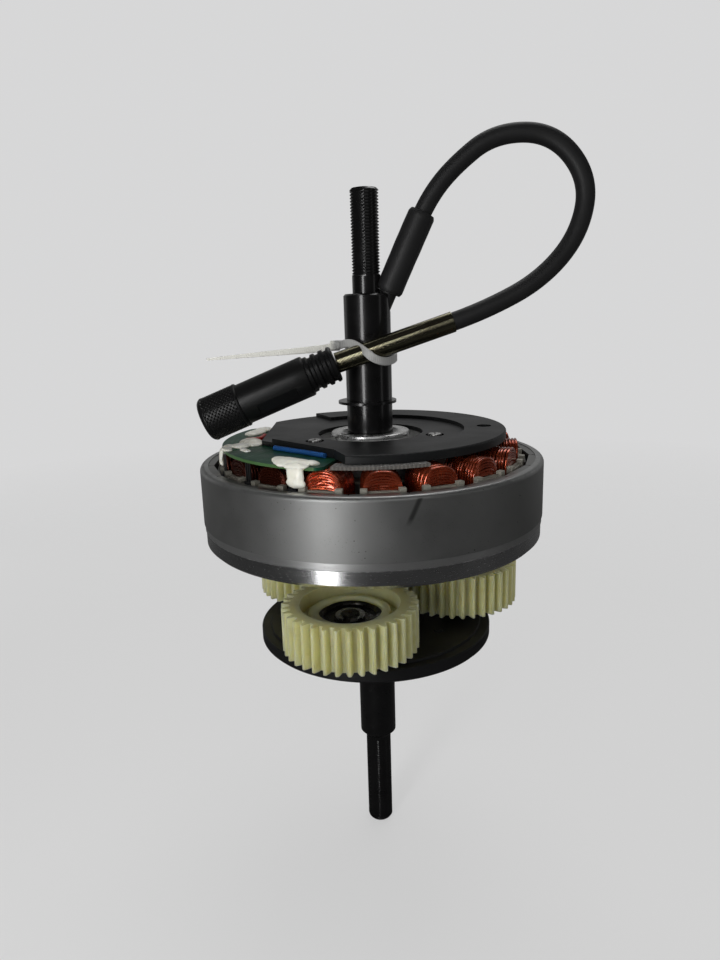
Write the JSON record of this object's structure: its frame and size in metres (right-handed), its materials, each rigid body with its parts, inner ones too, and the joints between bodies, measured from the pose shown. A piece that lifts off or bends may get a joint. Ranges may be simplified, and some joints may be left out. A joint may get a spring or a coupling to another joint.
{
  "type": "electric bike hub motor",
  "caption": "Geared hub motor core out of its shell: axle with cable and plug, stator, outer rotor, planet gears and carrier.",
  "frame": {"origin": "on the axle's axis, at the middle of the gear-side bearing seat", "axes": "+Z along the axle towards the cable side, -Y towards the side where the circuit board's leads show"},
  "size_m": [0.1676, 0.1506, 0.3212],
  "materials": {
    "axle_steel": "black oxide, semi-gloss",
    "bright_steel": "ground",
    "ring_steel": "satin, grey",
    "turned_aluminium": "turned, polished",
    "cast_aluminium": "cast, matt",
    "plate_black": "black, satin",
    "carrier_black": "black oxide, satin",
    "lamination": "pressed sheet, dull",
    "insulator_white": "moulded",
    "copper": "enamelled copper wire, glossy",
    "board_green": "solder mask, glossy",
    "sensor_black": "moulded",
    "lead_blue": "insulation",
    "lead_red": "insulation",
    "sleeving_grey": "woven glass fibre",
    "silicone": "cured silicone, satin",
    "cable_black": "matt",
    "spring_steel": "close-wound wire",
    "connector_black": "moulded, matt",
    "contact_gold": "plated",
    "tie_white": "translucent",
    "gear_nylon": "moulded, ivory",
    "magnet_nickel": "nickel plated"
  },
  "bodies": {
    "axle": {"axle": "axle_steel", "hub_ring": "axle_steel", "clutch_key": "bright_steel", "stator_snap_ring": "bright_steel", "stator_hub": "cast_aluminium", "stator_plate": "plate_black", "plate_screws": "bright_steel", "stator_core": "lamination", "upper_insulator": "insulator_white", "lower_insulator": "insulator_white", "windings": "copper", "circuit_board": "board_green", "hall_sensors": "sensor_black", "blue_lead": "lead_blue", "red_lead": "lead_red", "wire_sleeving": "sleeving_grey", "sealant": "silicone", "clutch_race": "bright_steel", "cable": "cable_black", "cable_sleeve": "cable_black", "cable_spring": "spring_steel", "connector_shell": "connector_black", "connector_insert": "connector_black", "connector_contacts": "contact_gold", "cable_tie": "tie_white"},
    "carrier": {"carrier_disc": "carrier_black", "clutch_rollers": "bright_steel", "planet_pins": "bright_steel", "pin_clips": "bright_steel", "carrier_rivets": "carrier_black"},
    "rotor": {"rotor_ring": "ring_steel", "magnets": "magnet_nickel", "rotor_cover": "turned_aluminium", "rotor_bearings": "bright_steel", "sun_gear": "bright_steel"},
    "planet_1": {"planet_gear_1": "gear_nylon", "planet_bearing_1": "bright_steel"},
    "planet_2": {"planet_gear_2": "gear_nylon", "planet_bearing_2": "bright_steel"},
    "planet_3": {"planet_gear_3": "gear_nylon", "planet_bearing_3": "bright_steel"}
  },
  "joints": [
    {"name": "carrier_spin", "type": "hinge", "parent": "axle", "child": "carrier", "pos_m": [0, 0, 0.0304], "axis": [0, 0, 1], "continuous": true},
    {"name": "rotor_spin", "type": "hinge", "parent": "carrier", "child": "rotor", "pos_m": [0, 0, 0.0871], "axis": [0, 0, 1], "continuous": true},
    {"name": "planet_1_spin", "type": "hinge", "parent": "carrier", "child": "planet_1", "pos_m": [-0.01041, -0.03914, 0.0475], "axis": [0, 0, 1], "continuous": true},
    {"name": "planet_2_spin", "type": "hinge", "parent": "carrier", "child": "planet_2", "pos_m": [0.0391, 0.01055, 0.0475], "axis": [0, 0, 1], "continuous": true},
    {"name": "planet_3_spin", "type": "hinge", "parent": "carrier", "child": "planet_3", "pos_m": [-0.02869, 0.02859, 0.0475], "axis": [0, 0, 1], "continuous": true}
  ],
  "couplings": [
    {"joint": "planet_1_spin", "follows": "rotor_spin", "ratio": -0.5},
    {"joint": "planet_2_spin", "follows": "rotor_spin", "ratio": -0.5},
    {"joint": "planet_3_spin", "follows": "rotor_spin", "ratio": -0.5}
  ]
}
